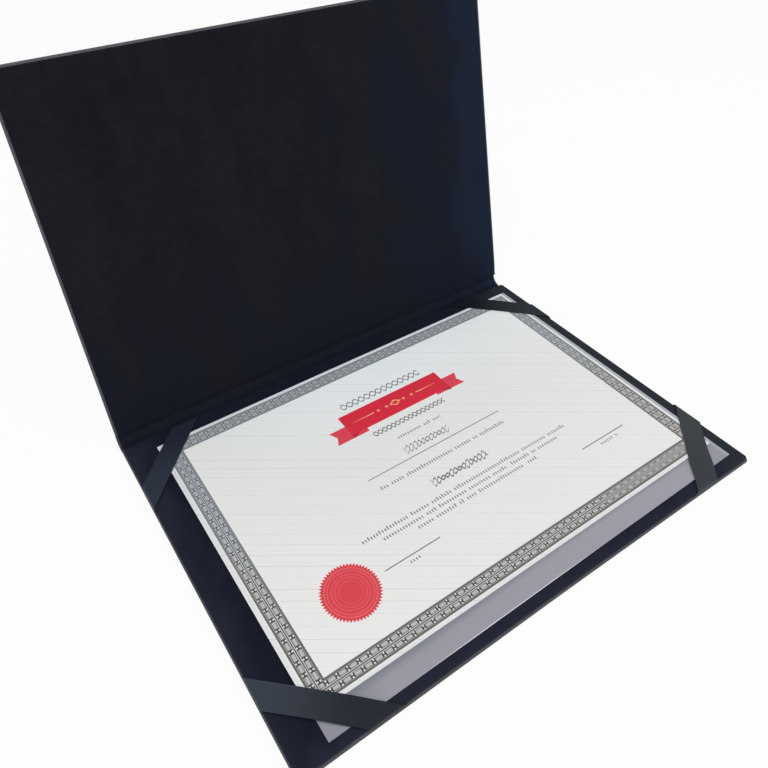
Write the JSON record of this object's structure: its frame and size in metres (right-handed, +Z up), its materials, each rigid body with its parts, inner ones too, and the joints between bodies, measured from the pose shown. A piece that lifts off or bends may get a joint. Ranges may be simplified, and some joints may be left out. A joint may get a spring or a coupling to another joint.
{
  "type": "certificate folder",
  "caption": "Hardcover certificate folder standing open: velvet-lined lid on a soft spine, and a base whose corner ribbons hold a backing sheet and a bordered certificate.",
  "frame": {"origin": "middle of the base's underside, on the surface that the folder stands on", "axes": "+X along the spine, from left to right for someone who faces the open folder; +Y from the front edge back to the spine; +Z up"},
  "size_m": [0.325, 0.2928, 0.2293],
  "materials": {
    "cover_cloth": "charcoal leather-look book cloth with a fine pebble grain",
    "velvet": "midnight blue short-pile velvet, matt with a soft sheen at the edges",
    "greyboard": "raw greyboard",
    "ribbon": "charcoal ribbon with a fine cross rib, satin",
    "pearl_card": "lavender-grey pearl card, satin",
    "certificate_paper": "smooth ivory-white printed paper"
  },
  "bodies": {
    "base": {"base_cover": "cover_cloth", "base_board": "greyboard", "panel_board": "greyboard", "panel_velvet": "velvet", "ribbon_front_left": "ribbon", "ribbon_front_right": "ribbon", "ribbon_back_left": "ribbon", "ribbon_back_right": "ribbon"},
    "spine": {"spine_cover": "cover_cloth", "spine_lining": "velvet"},
    "lid": {"lid_cover": "cover_cloth", "lid_board": "greyboard", "lid_lining": "velvet"},
    "backing": {"backing_sheet": "pearl_card"},
    "certificate": {"certificate": "certificate_paper"}
  },
  "joints": [
    {"name": "spine_hinge", "type": "hinge", "parent": "base", "child": "spine", "pos_m": [0, 0.1143, 0.0006], "axis": [1, 0, 0], "range_deg": [-38, 52]},
    {"name": "lid_hinge", "type": "hinge", "parent": "spine", "child": "lid", "pos_m": [0, 0.12376, 0.00798], "axis": [1, 0, 0], "range_deg": [-38, 52]},
    {"name": "backing_slide", "type": "slide", "parent": "base", "child": "backing", "axis": [1, 0, 0], "range_m": [-0.018, 0.0075]},
    {"name": "certificate_slide", "type": "slide", "parent": "backing", "child": "certificate", "axis": [0, 1, 0], "range_m": [-0.0135, 0]}
  ],
  "couplings": [
    {"joint": "lid_hinge", "follows": "spine_hinge", "ratio": 1}
  ]
}
